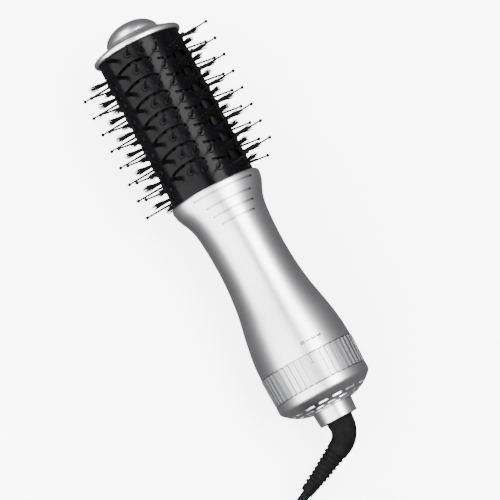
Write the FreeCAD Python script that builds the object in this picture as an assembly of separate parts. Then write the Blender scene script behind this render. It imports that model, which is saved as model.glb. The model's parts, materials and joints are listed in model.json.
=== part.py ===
import FreeCAD, Part
import math
import os

# A hot air brush, in millimetres.
# The brush frame, in which the pieces are drawn: z runs along the brush's axis from the lower end of
# the cord collar to the tip, x is to the right of someone who looks at the brush's face, and the
# face looks along -y.
# The part frame, in which the pieces are written: the brush lies on its back on z = 0, its face up,
# its tip towards +y. The origin is under the middle of the brush.

V = FreeCAD.Vector
ALONG = V(0, 0, 1)

# Heights along the axis
COLLAR_TOP = 7.0
CAP_SHOULDER = 13.9
CAP_TOP = 18.8
RING_BOTTOM = 19.1
RING_TOP = 33.5
HANDLE_BOTTOM = 33.8
BARREL_BOTTOM = 126.2
HANDLE_TOP = 128.6
BARREL_TOP = 209.8
TIP = 223.8

# Main radii
COLLAR_RADIUS = 10.5
CAP_RADIUS = 24.7
RING_RADIUS = 25.1
RING_FOOT_RADIUS = 24.75
SPIGOT_RADIUS = 23.2
BARREL_HALF_WIDTH = 22.3
BARREL_HALF_DEPTH = 16.6
BARREL_END_RADIUS = 13.0

WALL = 2.2
BARREL_WALL = 1.8
RUNNING_FIT = 0.06

# The rear cap: its spigot's bore, its neck's bore, and rows of intake slots (radius, first angle)
SPIGOT_BORE = 21.2
NECK_BORE = 8.9
SLOT_ROWS = ((19.8, 0.0), (16.7, 11.25), (13.8, 0.0))
SLOT_HALF_WIDTH = 0.62
SLOTS_PER_ROW = 16
SLOT_ANGLE = 15.0

# The four-position switch under the ring: the tab's height range, and the housing's
TAB_LOW = 25.4
TAB_HIGH = 28.6
SWITCH_LOW = 22.0
SWITCH_HIGH = 32.0
SWITCH_RADIUS = 20.6
SLIDER_RADIUS = 19.4
SLIDER_BORE = 16.4
SWITCH_SIDE = 90.0

# The selector ring
RIBS = 50
RIB_WIDTH = 1.5
RIB_HEIGHT = 0.6
PLAIN_PANEL = 5.4
POINTER_ANGLE = -10.5

# Bristles: arc distance of each column from the middle of the face, its first row's distance below
# the barrel's top on the face and on the back (which repeats the columns, half a turn on), its kind.
COLUMNS = [
    (-31.0, 8.7, 3.4, "tuft"),
    (-26.0, 14.9, 8.8, "pin"),
    (-17.5, 3.2, 3.2, "tuft"),
    (-10.5, 3.6, 3.6, "pin"),
    (-3.5, 5.2, 5.2, "pin"),
    (3.5, 7.5, 7.5, "pin"),
    (10.5, 9.2, 9.2, "pin"),
    (17.5, 10.6, 10.6, "tuft"),
    (24.5, 4.8, 10.0, "pin"),
]
ROW_PITCH = 9.55
LAST_ROW_CLEAR = 2.7
# The three pin columns left of the middle stand parallel, square to the wall at the middle one.
PARALLEL_COLUMNS = (-10.5, 3.5)
PARALLEL_TO = -3.5
PIN_LENGTH = 15.8
PIN_ROOT_RADIUS = 0.62
PIN_TIP_RADIUS = 0.42
BALL_RADIUS = 0.9
PIN_HOLE_RADIUS = 0.7
BOSS_RADIUS = 1.9
BOSS_HEIGHT = 0.5
TUFT_LENGTH = 9.4
TUFT_ROOT_RADIUS = 0.95
TUFT_END_RADIUS = 1.45
TUFT_HOLE_RADIUS = 1.15
STRIP_WIDTH = 2.6
STRIP_THICKNESS = 1.2
VENT_WIDTH = 1.6

# The cord and what carries it
BOOT_STRAIGHT = 2.4
BOOT_BEND_RADIUS = 11.0
BOOT_BEND = 64.0
BOOT_TAIL = 27.6
BOOT_TURN = 14.0
BOOT_RADII = (6.85, 5.55, 3.5)
BOOT_GROOVES = 9
CORD_DIAMETER = 4.7
COIL_CENTRE = (-30.0, -178.2)
COIL_MEAN_RADIUS = 26.5
COIL_TURNS_WIDE = 3
COIL_LAYERS = 4
LAYER_PITCH = math.sqrt(0.75)
TIE_THICKNESS = 0.8
TIE_WIDTH = 9.0

# The cord's route in the part frame, from the boot's end to its first turn in the coil
CORD_ROUTE = [
    (-30.4, -122.25, 14.6),
    (-40.0, -126.9, 11.95),
    (-48.9, -134.6, 8.3),
    (-55.6, -144.0, 5.2),
    (-59.6, -154.8, 3.1),
    (-61.2, -166.2, 2.4),
    (-61.2, -178.2, 2.35),
]
# The cord's last stretch, from the coil's top turn down to the plug
TAIL_ROUTE = [
    (-57.1, -188.1, 14.6),
    (-55.0, -195.6, 15.1),
    (-50.6, -203.0, 15.1),
    (-44.4, -209.6, 14.2),
    (-36.8, -214.9, 12.2),
    (-28.2, -218.5, 9.8),
    (-19.0, -219.6, 7.7),
    (-9.9, -217.8, 6.4),
    (-2.0, -213.3, 6.02),
    (3.6, -207.7, 6.02),
]

pieces = {}
cord_pieces = {}


def outline(start, steps):
    """A closed wire in the xz plane. A step is the next corner, or an arc: a point on it and its end."""
    edges = []
    here = V(start[0], 0, start[1])
    for step in list(steps) + [start]:
        if isinstance(step[0], tuple):
            through = V(step[0][0], 0, step[0][1])
            end = V(step[1][0], 0, step[1][1])
            edges.append(Part.Arc(here, through, end).toShape())
        else:
            end = V(step[0], 0, step[1])
            if end.distanceToPoint(here) > 1e-6:
                edges.append(Part.LineSegment(here, end).toShape())
        here = end
    return Part.Wire(edges)


def turned(start, *steps):
    """A solid of revolution about the axis, from an outline of (radius, height) corners."""
    return Part.Face(outline(start, steps)).revolve(V(0, 0, 0), ALONG, 360)


def tube(outer, inner, low, high):
    """A plain round tube about the axis."""
    return turned((inner, low), (outer, low), (outer, high), (inner, high))


def rod(radius, start, end):
    """A round bar between two points."""
    start, end = V(*start), V(*end)
    return Part.makeCylinder(radius, (end - start).Length, start, end - start)


def block(low, high):
    """A box between two corners."""
    size = V(*high) - V(*low)
    return Part.makeBox(size.x, size.y, size.z, V(*low))


def about_axis(shape, angle):
    """A copy of the shape, turned about the brush's axis."""
    copy = shape.copy()
    copy.rotate(V(0, 0, 0), ALONG, angle)
    return copy


def ring_of(shape, count, first=0.0):
    """Equally spaced copies of a shape about the axis."""
    return [about_axis(shape, first + 360.0 * i / count) for i in range(count)]


def sector_of(shape, angle):
    """The part of a turned shape between the xz plane and that angle from it."""
    return shape.common(Part.makeCylinder(60, 200, V(0, 0, 0), ALONG, angle))


def oval_arcs(half_width, half_depth, end_radius):
    """The face radius of a four-arc oval, and the point where its right end meets its face."""
    face = half_width**2 + half_depth**2 - 2 * half_width * end_radius
    face /= 2 * (half_depth - end_radius)
    end_centre = V(half_width - end_radius, 0, 0)
    face_centre = V(0, face - half_depth, 0)
    out = (end_centre - face_centre).normalize()
    return face, end_centre + out * end_radius


def oval_prism(inset, low, high):
    """The barrel's four-arc oval, drawn in by an inset all round, as a prism."""
    a = BARREL_HALF_WIDTH - inset
    b = BARREL_HALF_DEPTH - inset
    _, corner = oval_arcs(a, b, BARREL_END_RADIUS - inset)
    x, y = corner.x, corner.y
    corners = [V(x, y, low), V(x, -y, low), V(-x, -y, low), V(-x, y, low)]
    middles = [V(a, 0, low), V(0, b, low), V(-a, 0, low), V(0, -b, low)]
    edges = []
    for i in range(4):
        edges.append(Part.Arc(corners[i], middles[i], corners[(i + 1) % 4]).toShape())
    return Part.Face(Part.Wire(edges)).extrude(V(0, 0, high - low))


def on_barrel(distance):
    """The point at an arc distance from the middle of the face, and the outward normal there."""
    face, corner = oval_arcs(BARREL_HALF_WIDTH, BARREL_HALF_DEPTH, BARREL_END_RADIUS)
    centre_y = face - BARREL_HALF_DEPTH
    half_angle = math.atan2(corner.x, centre_y - corner.y)
    side = math.copysign(1.0, distance)
    reach = abs(distance)
    if reach <= face * half_angle:
        angle = reach / face
        normal = V(side * math.sin(angle), -math.cos(angle), 0)
        return V(0, centre_y, 0) + normal * face, normal
    angle = half_angle + (reach - face * half_angle) / BARREL_END_RADIUS
    normal = V(side * math.sin(angle), -math.cos(angle), 0)
    centre = V(side * (BARREL_HALF_WIDTH - BARREL_END_RADIUS), 0, 0)
    return centre + normal * BARREL_END_RADIUS, normal


def ellipse(half_width, half_depth, height):
    """A closed oval wire whose seam is on +x, so that lofts between such wires don't twist."""
    if abs(half_width - half_depth) < 0.02:
        curve = Part.Circle(V(0, 0, height), ALONG, half_width)
    else:
        major = V(half_width, 0, height)
        minor = V(0, half_depth, height)
        curve = Part.Ellipse(major, minor, V(0, 0, height))
    return Part.Wire(curve.toShape())


def lofted(sections):
    """A smooth solid through (height, half width, half depth) ovals."""
    return Part.makeLoft([ellipse(a, b, z) for z, a, b in sections], True, False)


def drawn_in(sections, by):
    """The same ovals, each smaller by the same wall."""
    return [(z, a - by, b - by) for z, a, b in sections]


# ---- Tail end: rear cap, selector ring, cord collar


def rear_cap():
    """The domed intake cap with its grille, and the spigot that the ring turns on."""
    dome = turned(
        (COLLAR_RADIUS + 0.3, COLLAR_TOP),
        ((18.4, 9.5), (CAP_RADIUS - 1.4, CAP_SHOULDER - 0.7)),
        ((CAP_RADIUS - 0.35, CAP_SHOULDER + 0.5), (CAP_RADIUS, CAP_SHOULDER + 2.0)),
        (CAP_RADIUS, CAP_TOP),
        (SPIGOT_RADIUS, CAP_TOP),
        (SPIGOT_RADIUS, HANDLE_BOTTOM),
        (SPIGOT_BORE + 1.1, HANDLE_BOTTOM),
        (SPIGOT_BORE + 1.1, HANDLE_BOTTOM + 3.0),
        (SPIGOT_BORE, HANDLE_BOTTOM + 3.0),
        (SPIGOT_BORE, CAP_SHOULDER + 3.0),
        ((18.0, 11.9), (10.8, COLLAR_TOP + 1.9)),
        (NECK_BORE, COLLAR_TOP + 1.9),
        (NECK_BORE, COLLAR_TOP),
    )
    slots = []
    for radius, first in SLOT_ROWS:
        outer = radius + SLOT_HALF_WIDTH
        inner = radius - SLOT_HALF_WIDTH
        slot = sector_of(tube(outer, inner, COLLAR_TOP - 1.0, CAP_TOP - 1.0), SLOT_ANGLE)
        slots += ring_of(slot, SLOTS_PER_ROW, first - 90 - SLOT_ANGLE / 2)
    window = sector_of(tube(SPIGOT_RADIUS + 1, 20.5, TAB_LOW - 0.9, TAB_HIGH + 0.9), 36.0)
    return dome.cut(slots + [about_axis(window, SWITCH_SIDE - 18.0)])


def selector_ring():
    """The ribbed ring, its pointer groove, and the tab that works the switch."""
    core_radius = RING_RADIUS - RIB_HEIGHT
    foot_radius = RING_FOOT_RADIUS - RIB_HEIGHT
    bore = SPIGOT_RADIUS + RUNNING_FIT
    core = ((foot_radius, RING_BOTTOM), (core_radius, RING_TOP), (bore, RING_TOP))
    ring = turned((bore, RING_BOTTOM), *core)
    blank = turned(
        (bore + 0.6, RING_BOTTOM),
        (RING_FOOT_RADIUS - 0.2, RING_BOTTOM),
        (RING_FOOT_RADIUS, RING_BOTTOM + 0.4),
        (RING_RADIUS, RING_TOP - 0.4),
        (RING_RADIUS - 0.2, RING_TOP),
        (bore + 0.6, RING_TOP),
    )
    bars = []
    face = -90 + POINTER_ANGLE
    for i in range(1, RIBS):
        bar = block((0, -RIB_WIDTH / 2, RING_BOTTOM), (30, RIB_WIDTH / 2, RING_TOP))
        bars.append(about_axis(bar, face + 360.0 * i / RIBS))
    panel = block((0, -PLAIN_PANEL / 2, RING_BOTTOM), (30, PLAIN_PANEL / 2, RING_TOP))
    bars.append(about_axis(panel, face))
    ring = ring.fuse([blank.common(bar) for bar in bars])
    tab = block((SLIDER_RADIUS, -1.5, TAB_LOW), (bore + 0.5, 1.5, TAB_HIGH))
    ring = ring.fuse(about_axis(tab, SWITCH_SIDE - 10.0))
    stem = block((RING_RADIUS - 0.45, -0.25, RING_TOP - 5.0), (30, 0.25, RING_TOP + 1))
    foot = block((RING_RADIUS - 0.6, -1.1, RING_TOP - 5.0), (30, 0.7, RING_TOP - 4.5))
    return ring.cut([about_axis(stem, face), about_axis(foot, face)]).removeSplitter()


def selector_slider():
    """The switch's slider, on the end of the ring's tab."""
    slider = sector_of(tube(SLIDER_RADIUS, SLIDER_BORE, TAB_LOW, TAB_HIGH), 14.0)
    return about_axis(slider, SWITCH_SIDE - 17.0)


def selector_switch():
    """The four-position switch, an arc-shaped housing with a channel for the slider."""
    body = sector_of(tube(SWITCH_RADIUS, SLIDER_BORE - 1.8, SWITCH_LOW, SWITCH_HIGH), 52.0)
    channel = sector_of(tube(SWITCH_RADIUS + 0.4, SLIDER_BORE - 0.4, TAB_LOW - 0.4, TAB_HIGH + 0.4), 42.0)
    return about_axis(body, SWITCH_SIDE - 26.0).cut(about_axis(channel, SWITCH_SIDE - 21.0))


def inlet_filter():
    """The lint mesh behind the grille, a thin perforated disc in a rim."""
    disc = tube(20.9, 9.6, CAP_SHOULDER + 3.2, CAP_SHOULDER + 4.0)
    return disc.fuse(tube(20.9, 19.9, CAP_SHOULDER + 3.2, CAP_SHOULDER + 5.4)).removeSplitter()


def cord_collar():
    """The silver sleeve that holds the swivel bush."""
    return turned(
        (7.4, 0.0),
        (9.7, 0.0),
        ((9.92, 0.08), (10.0, 0.3)),
        (COLLAR_RADIUS, COLLAR_TOP),
        (8.56, COLLAR_TOP),
        (8.56, 1.8),
        (7.4, 1.8),
    )


def swivel_bush():
    """The bush that turns in the collar, held by its flange."""
    return turned(
        (5.0, 2.1),
        (8.5, 2.1),
        (8.5, 9.2),
        (10.4, 9.2),
        (10.4, 10.6),
        (2.6, 10.6),
        (2.6, 9.2),
        (5.0, 9.2),
    )


def contact_rings():
    """Two brass slip rings on the bush's flange, which feed the brush while the cord turns."""
    return Part.makeCompound([tube(9.6, 8.2, 10.6, 11.4), tube(6.6, 5.2, 10.6, 11.4)])


def boot_point(distance):
    """The point and direction on the boot's centreline, in the brush frame, before its swivel turn."""
    bend = math.radians(BOOT_BEND)
    if distance <= BOOT_STRAIGHT:
        return V(0, 0, -distance), V(0, 0, -1)
    arc = distance - BOOT_STRAIGHT
    angle = min(arc / BOOT_BEND_RADIUS, bend)
    point = V(
        -BOOT_BEND_RADIUS * (1 - math.cos(angle)),
        0,
        -BOOT_STRAIGHT - BOOT_BEND_RADIUS * math.sin(angle),
    )
    way = V(-math.sin(angle), 0, -math.cos(angle))
    return point + way * (arc - BOOT_BEND_RADIUS * angle), way


BOOT_ARC_END = BOOT_STRAIGHT + BOOT_BEND_RADIUS * math.radians(BOOT_BEND)
BOOT_LENGTH = BOOT_ARC_END + BOOT_TAIL


def boot_radius(distance):
    """The boot's radius along its centreline: two straight tapers."""
    first, middle, last = BOOT_RADII
    if distance <= BOOT_ARC_END:
        return first + (middle - first) * distance / BOOT_ARC_END
    return middle + (last - middle) * (distance - BOOT_ARC_END) / BOOT_TAIL


def cord_boot():
    """The rubber strain relief: a stem in the bush, a bend, and a grooved, tapering tail."""
    stations = [0.0, 0.8, 1.6, BOOT_STRAIGHT]
    stations += [BOOT_STRAIGHT + (BOOT_ARC_END - BOOT_STRAIGHT) * i / 5 for i in range(1, 6)]
    stations += [BOOT_ARC_END + BOOT_TAIL * i / 3 for i in range(1, 4)]
    wires = []
    for distance in stations:
        point, way = boot_point(distance)
        wires.append(Part.Wire(Part.Circle(point, way, boot_radius(distance)).toShape()))
    body = Part.makeLoft(wires, True, False)
    grooves = []
    for i in range(BOOT_GROOVES):
        distance = BOOT_ARC_END + 3.6 + 2.45 * i
        point, way = boot_point(distance)
        groove = Part.makeCylinder(9.0, 1.0, point, way)
        grooves.append(groove.cut(Part.makeCylinder(boot_radius(distance) - 0.55, 1.0, point, way)))
    body = body.cut(grooves)
    root = boot_radius(0)
    stem = turned((0, -0.2), (root, -0.2), (root, 1.9), (5.0, 1.9), (5.0, 9.2), (0, 9.2))
    body = body.fuse(stem).removeSplitter()
    return about_axis(body, BOOT_TURN * -1)


# ---- Handle

HANDLE_SECTIONS = [
    (HANDLE_BOTTOM, 24.8, 24.8),
    (38.0, 24.6, 24.6),
    (44.0, 24.1, 24.1),
    (50.0, 23.2, 23.2),
    (57.0, 21.9, 21.9),
    (65.0, 20.25, 20.25),
    (75.0, 18.85, 18.85),
    (87.0, 18.05, 18.0),
    (99.0, 18.2, 17.8),
    (108.0, 18.8, 17.75),
    (114.0, 19.8, 17.85),
    (118.5, 21.5, 18.0),
    (122.5, 23.4, 18.3),
    (125.8, 24.3, 18.5),
    (127.6, 24.35, 18.5),
    (HANDLE_TOP, 23.75, 18.0),
]


def handle_tube():
    """The whole hollow handle, before it is split into its two shells."""
    outside = lofted(HANDLE_SECTIONS)
    inside = [(z, a - WALL, b - (1.5 if z > 112 else WALL)) for z, a, b in HANDLE_SECTIONS]
    mouth = oval_prism(0, BARREL_BOTTOM, HANDLE_TOP + 1.0)
    return outside.cut([lofted(inside), mouth])


def grip_grooves():
    """Four shallow grooves across the face, under the thumb."""
    skin = lofted(HANDLE_SECTIONS).cut(lofted(drawn_in(HANDLE_SECTIONS, 0.6)))
    cutters = []
    for height, width in ((125.1, 32.7), (119.2, 25.0), (114.1, 22.5), (109.3, 18.3)):
        half = width / 2 - 0.5
        slot = block((-half, -40, height - 0.5), (half, 0, height + 0.5))
        ends = [rod(0.5, (x, -40, height), (x, 0, height)) for x in (-half, half)]
        cutters.append(slot.fuse(ends).common(skin))
    return cutters


SCREW_HEIGHTS = (84.0, 104.0)


def handle_shells():
    """The front and rear shells, split at the sides, joined by two screws from the back."""
    whole = handle_tube()
    front = whole.common(block((-40, -40, 0), (40, 0, 150)))
    rear = whole.common(block((-40, 0, 0), (40, 40, 150)))
    inner = lofted([(z, a - 1.0, b - 1.0) for z, a, b in HANDLE_SECTIONS])
    posts = []
    sockets = []
    for height in SCREW_HEIGHTS:
        posts.append(rod(3.2, (0, -30, height), (0, 0, height)).common(inner))
        sockets.append(rod(3.2, (0, 0, height), (0, 30, height)).common(inner))
    front = front.fuse(posts)
    rear = rear.fuse(sockets)
    pilots = [rod(1.2, (0, -10, z), (0, 1, z)) for z in SCREW_HEIGHTS]
    holes = [rod(1.6, (0, -1, z), (0, 30, z)) for z in SCREW_HEIGHTS]
    wells = [rod(2.7, (0, 11.5, z), (0, 30, z)) for z in SCREW_HEIGHTS]
    front = front.cut(pilots + grip_grooves()).removeSplitter()
    rear = rear.cut(holes + wells).removeSplitter()
    return front, rear


def handle_screws():
    """Two self-tapping screws: a pan head with a cross recess, and a shank that fills its pilot."""
    screws = []
    for z in SCREW_HEIGHTS:
        head = rod(2.5, (0, 11.5, z), (0, 13.3, z))
        shank = rod(1.2, (0, -9, z), (0, 11.5, z))
        level = block((-1.5, 12.4, z - 0.25), (1.5, 14, z + 0.25))
        upright = block((-0.25, 12.4, z - 1.5), (0.25, 14, z + 1.5))
        cross = [level, upright]
        screws.append(head.fuse(shank).cut(cross).removeSplitter())
    return Part.makeCompound(screws)


# ---- Blower, in the wide foot of the handle

SHAFT_RADIUS = 1.15
CAN_RADIUS = 12.0
CAN_LOW = 50.0
CAN_HIGH = 72.0


def fan_shroud():
    """The duct around the impeller and the motor."""
    return turned(
        (21.0, 36.8),
        (22.2, 36.8),
        (21.4, 44.0),
        (18.9, 57.0),
        (17.2, 65.0),
        (16.1, 74.0),
        (14.9, 74.0),
        (16.0, 65.0),
        (17.7, 57.0),
        (20.2, 44.0),
    )


def motor_mount():
    """The spider that carries the motor in the shroud: a hub ring and five vanes."""
    hub = tube(13.2, CAN_RADIUS, 57.0, 64.0)
    room = turned((0, 56.5), (17.65, 56.5), (15.95, 64.5), (0, 64.5))
    vane = block((12.6, -0.6, 57.0), (20, 0.6, 64.0))
    return hub.fuse([v.common(room) for v in ring_of(vane, 5, 18.0)]).removeSplitter()


def motor_can():
    """The motor's steel can, with a bearing seat in each end and cooling windows."""
    can = turned(
        (3.0, CAN_LOW),
        (CAN_RADIUS, CAN_LOW),
        (CAN_RADIUS, CAN_HIGH),
        (3.0, CAN_HIGH),
        (3.0, CAN_HIGH - 1.2),
        (11.0, CAN_HIGH - 1.2),
        (11.0, CAN_LOW + 1.2),
        (3.0, CAN_LOW + 1.2),
    )
    window = block((5.0, -1.6, CAN_LOW - 1), (9.6, 1.6, CAN_HIGH + 1))
    return can.cut(ring_of(window, 4, 45.0))


def motor_bearings():
    """Two sintered bushes for the shaft."""
    bore = SHAFT_RADIUS + 0.03
    low = tube(3.0, bore, CAN_LOW, CAN_LOW + 2.6)
    high = tube(3.0, bore, CAN_HIGH - 2.6, CAN_HIGH)
    return Part.makeCompound([low, high])


def motor_magnets():
    """Two arc magnets inside the can."""
    arc = sector_of(tube(11.0, 9.1, 54.0, 68.0), 150.0)
    return Part.makeCompound(ring_of(arc, 2, 15.0))


def armature():
    """The wound rotor: a slotted stack with end windings and a commutator."""
    stack = tube(8.5, SHAFT_RADIUS, 55.5, 66.0)
    slot = block((4.0, -0.7, 55.0), (9.5, 0.7, 67.0))
    stack = stack.cut(ring_of(slot, 7))
    end_winding = tube(4.5, SHAFT_RADIUS, 54.0, 56.0)
    commutator = tube(3.0, SHAFT_RADIUS, 66.0, 68.6)
    return stack.fuse([end_winding, commutator]).removeSplitter()


def motor_shaft():
    """The steel shaft through both bearings and the impeller's hub."""
    return rod(SHAFT_RADIUS, (0, 0, 38.5), (0, 0, 73.0))


def fan_impeller():
    """Seven pitched blades on a domed hub."""
    hub = turned((SHAFT_RADIUS, 38.5), (5.0, 38.5), (6.5, 41.0), (6.5, 47.0), (SHAFT_RADIUS, 47.0))
    blade = block((5.5, -0.55, -4.4), (19.0, 0.55, 4.4))
    blade.rotate(V(0, 0, 0), V(1, 0, 0), 38)
    blade.translate(V(0, 0, 43.0))
    return hub.fuse(ring_of(blade, 7)).removeSplitter()


def rectifier_board():
    """The little board that feeds the motor, above it in the neck."""
    return block((-12.0, -4.5, 76.0), (12.0, 4.5, 77.4))


def rectifier_diodes():
    """Four diodes in a row on the board."""
    return Part.makeCompound([rod(1.3, (x, -2.6, 78.7), (x, 2.6, 78.7)) for x in (-8.4, -2.8, 2.8, 8.4)])


# ---- Barrel

HEATER_LOW = 134.0
HEATER_HIGH = 194.0


def rows_of(first):
    """The heights of a column's rows, down to the last that clears the handle."""
    rows = []
    height = BARREL_TOP - first
    while height > HANDLE_TOP + LAST_ROW_CLEAR:
        rows.append(height)
        height -= ROW_PITCH
    return rows


def lean_of(distance):
    """The way a column's bristles point: square to the wall, but for the parallel columns."""
    parallel = PARALLEL_COLUMNS[0] <= distance <= PARALLEL_COLUMNS[1]
    _, way = on_barrel(PARALLEL_TO if parallel else distance)
    return way


def seats(back):
    """Every bristle seat of one side, drawn on the face: (kind, point, outward normal, lean)."""
    found = []
    for distance, face_first, back_first, kind in COLUMNS:
        point, normal = on_barrel(distance)
        lean = lean_of(distance)
        for z in rows_of(back_first if back else face_first):
            found.append((kind, point + V(0, 0, z), normal, lean))
    return found


def turned_profile_at(point, normal, start, *steps):
    """A solid of revolution about the normal at a point, from (radius, height above the point)."""
    shape = turned(start, *steps)
    shape.Placement = FreeCAD.Placement(point, FreeCAD.Rotation(ALONG, normal))
    return shape


def vent_cutters():
    """The air slots of the face: an arched one on the left and a sloping one on the right of each row."""
    cutters = []
    half = VENT_WIDTH / 2
    for z in rows_of(3.6)[1:]:
        apex = z + 4.7
        arch = outline(
            (-18.2, apex - 2.8),
            [
                ((-10.0, apex - half), (-1.8, apex - 2.5)),
                ((-1.1, apex - 1.6), (-1.8, apex - 0.9)),
                ((-10.0, apex + half), (-18.2, apex - 1.2)),
            ],
        )
        cutters.append(Part.Face(arch).extrude(V(0, -30, 0)))
        slope = outline(
            (1.7, z),
            [(1.7, z + 1.6), (10.0, z - 0.5), ((18.3, z - 3.4), (18.0, z - 4.2)), (10.0, z - 2.1)],
        )
        cutters.append(Part.Face(slope).extrude(V(0, -30, 0)))
    return cutters


def barrel_shell():
    """The heated barrel: an oval tube with a boss and hole for each pin, tuft holes and air slots."""
    wall = oval_prism(0, BARREL_BOTTOM, BARREL_TOP)
    bosses = []
    holes = []
    for back in (False, True):
        turn = 180 if back else 0
        for kind, point, normal, lean in seats(back):
            if kind == "pin":
                low, high = -0.9, BOSS_HEIGHT
                corners = ((BOSS_RADIUS, low), (BOSS_RADIUS, 0.2), (BOSS_RADIUS - 0.4, high), (0, high))
                bosses.append(about_axis(turned_profile_at(point, normal, (0, low), *corners), turn))
            radius = PIN_HOLE_RADIUS if kind == "pin" else TUFT_HOLE_RADIUS
            hole = Part.makeCylinder(radius, 5.0, point - lean * 3.5, lean)
            holes.append(about_axis(hole, turn))
    vents = vent_cutters()
    vents += [about_axis(vent, 180) for vent in vents]
    bore = oval_prism(BARREL_WALL, BARREL_BOTTOM - 1.0, BARREL_TOP + 1.0)
    return wall.fuse(bosses).cut([bore] + holes + vents)


def bristle_strip(number, back):
    """One column of bristles on its carrier strip, which lies inside the barrel's wall."""
    distance, face_first, back_first, kind = COLUMNS[number]
    point, normal = on_barrel(distance)
    lean = lean_of(distance)
    heights = rows_of(back_first if back else face_first)
    top = BARREL_WALL + 0.12
    box = block(
        (-STRIP_WIDTH / 2, 0, max(heights[-1] - 3.0, HANDLE_TOP + 0.1)),
        (STRIP_WIDTH / 2, STRIP_THICKNESS, min(heights[0] + 3.0, BARREL_TOP - 1.6)),
    )
    box.rotate(V(0, 0, 0), ALONG, math.degrees(math.atan2(normal.x, -normal.y)))
    box.translate(point - normal * top)
    strip = []
    for z in heights:
        seat = point + V(0, 0, z)
        if kind == "pin":
            centre = PIN_LENGTH - BALL_RADIUS
            neck = math.sqrt(BALL_RADIUS**2 - PIN_TIP_RADIUS**2)
            strip.append(
                turned_profile_at(
                    seat,
                    lean,
                    (0, -top - 0.6),
                    (PIN_ROOT_RADIUS, -top - 0.6),
                    (PIN_TIP_RADIUS, centre - neck),
                    ((BALL_RADIUS, centre), (0, PIN_LENGTH)),
                )
            )
        else:
            strip.append(
                turned_profile_at(
                    seat,
                    lean,
                    (0, -top - 0.6),
                    (TUFT_ROOT_RADIUS, -top - 0.6),
                    (TUFT_ROOT_RADIUS, 0.4),
                    (TUFT_END_RADIUS, TUFT_LENGTH - 0.8),
                    (TUFT_END_RADIUS - 0.5, TUFT_LENGTH),
                    (0, TUFT_LENGTH),
                )
            )
    shape = box.fuse(strip).removeSplitter()
    return about_axis(shape, 180) if back else shape


def barrel_end_plate():
    """The plate that closes the barrel under the tip cap, with slots for the outgoing air."""
    plate = oval_prism(BARREL_WALL + 0.05, BARREL_TOP - 1.4, BARREL_TOP)
    ports = [rod(2.6, (x, y, BARREL_TOP - 3), (x, y, BARREL_TOP + 1)) for x in (-9, 9) for y in (-5, 5)]
    return plate.cut(ports + [rod(1.6, (0, 0, BARREL_TOP - 3), (0, 0, BARREL_TOP + 1))])


def barrel_base_collar():
    """The spigot block that seats the barrel in the handle's mouth."""
    block_shape = oval_prism(BARREL_WALL + 0.05, HANDLE_TOP - 7.0, HANDLE_TOP)
    bore = Part.makeCylinder(12.4, 30, V(0, 0, HANDLE_TOP - 15.0), ALONG)
    return block_shape.cut(bore)


DOME_BASE = BARREL_TOP + 6.0
CROWN_EDGE = 5.8
CROWN_SAG = 0.4
BRIM_SECTIONS = [
    (BARREL_TOP, 23.5, 17.8),
    (BARREL_TOP + 0.9, 24.1, 18.3),
    (BARREL_TOP + 2.0, 24.0, 18.2),
    (BARREL_TOP + 3.2, 22.3, 17.3),
    (BARREL_TOP + 4.2, 19.2, 16.1),
    (BARREL_TOP + 5.1, 16.4, 15.0),
    (DOME_BASE, 14.4, 14.4),
]


def tip_cap():
    """The silver cool tip: an oval brim that sweeps up into a round dome, hollow, with a screw boss."""
    crown_radius = (CROWN_EDGE**2 + CROWN_SAG**2) / (2 * CROWN_SAG)
    half_edge = CROWN_EDGE / 2
    half_sag = crown_radius - math.sqrt(crown_radius**2 - half_edge**2)
    dome = turned(
        (0, DOME_BASE),
        (14.4, DOME_BASE),
        ((13.5, TIP - 5.4), (11.3, TIP - 3.0)),
        ((8.9, TIP - 1.45), (CROWN_EDGE, TIP - CROWN_SAG)),
        ((half_edge, TIP - half_sag), (0, TIP)),
    )
    cap = lofted(BRIM_SECTIONS).fuse(dome)
    cavity = oval_prism(BARREL_WALL, BARREL_TOP - 1.0, BARREL_TOP + 1.6)
    hollow = ((13.2, BARREL_TOP), (12.4, TIP - 7.5), (7.6, TIP - 3.2), (0, TIP - 2.8))
    cavity = cavity.fuse(turned((0, BARREL_TOP), *hollow))
    boss = tube(3.4, 1.2, BARREL_TOP, TIP - 2.0)
    return cap.cut(cavity).fuse(boss).removeSplitter()


def tip_cap_screw():
    """The screw that holds the tip cap from inside the barrel."""
    head = rod(2.6, (0, 0, BARREL_TOP - 3.2), (0, 0, BARREL_TOP - 1.4))
    return head.fuse(rod(1.2, (0, 0, BARREL_TOP - 1.4), (0, 0, BARREL_TOP + 9.0))).removeSplitter()


def heater_sleeve():
    """The mica tube around the heater."""
    return tube(12.3, 11.8, HANDLE_TOP - 4.0, HEATER_HIGH + 2.0)


def heater_board(across):
    """One board of the heater's mica cross, slotted half way to take the other."""
    low, high = HEATER_LOW, HEATER_HIGH
    middle = (low + high) / 2
    board = block((-9.0, -0.4, low), (9.0, 0.4, high))
    start, end = (low - 1, middle) if across else (middle, high + 1)
    notch = block((-0.45, -1, start), (0.45, 1, end))
    board = board.cut(notch)
    return about_axis(board, 90) if across else board


def heater_coil():
    """The resistance wire, wound around the cross."""
    radius = 9.55
    helix = Part.makeHelix(5.0, 50.0, radius)
    circle = Part.Wire(Part.Circle(V(radius, 0, 0), V(0, 1, 0), 0.4).toShape())
    coil = Part.Wire(helix).makePipeShell([circle], True, True)
    coil.translate(V(0, 0, HEATER_LOW + 5.0))
    return coil


def thermostat():
    """The round bimetal thermostat above the heater."""
    body = rod(4.2, (0, 0, HEATER_HIGH + 2.5), (0, 0, HEATER_HIGH + 5.5))
    return body.fuse(rod(2.2, (0, 0, HEATER_HIGH + 5.5), (0, 0, HEATER_HIGH + 6.6))).removeSplitter()


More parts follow.
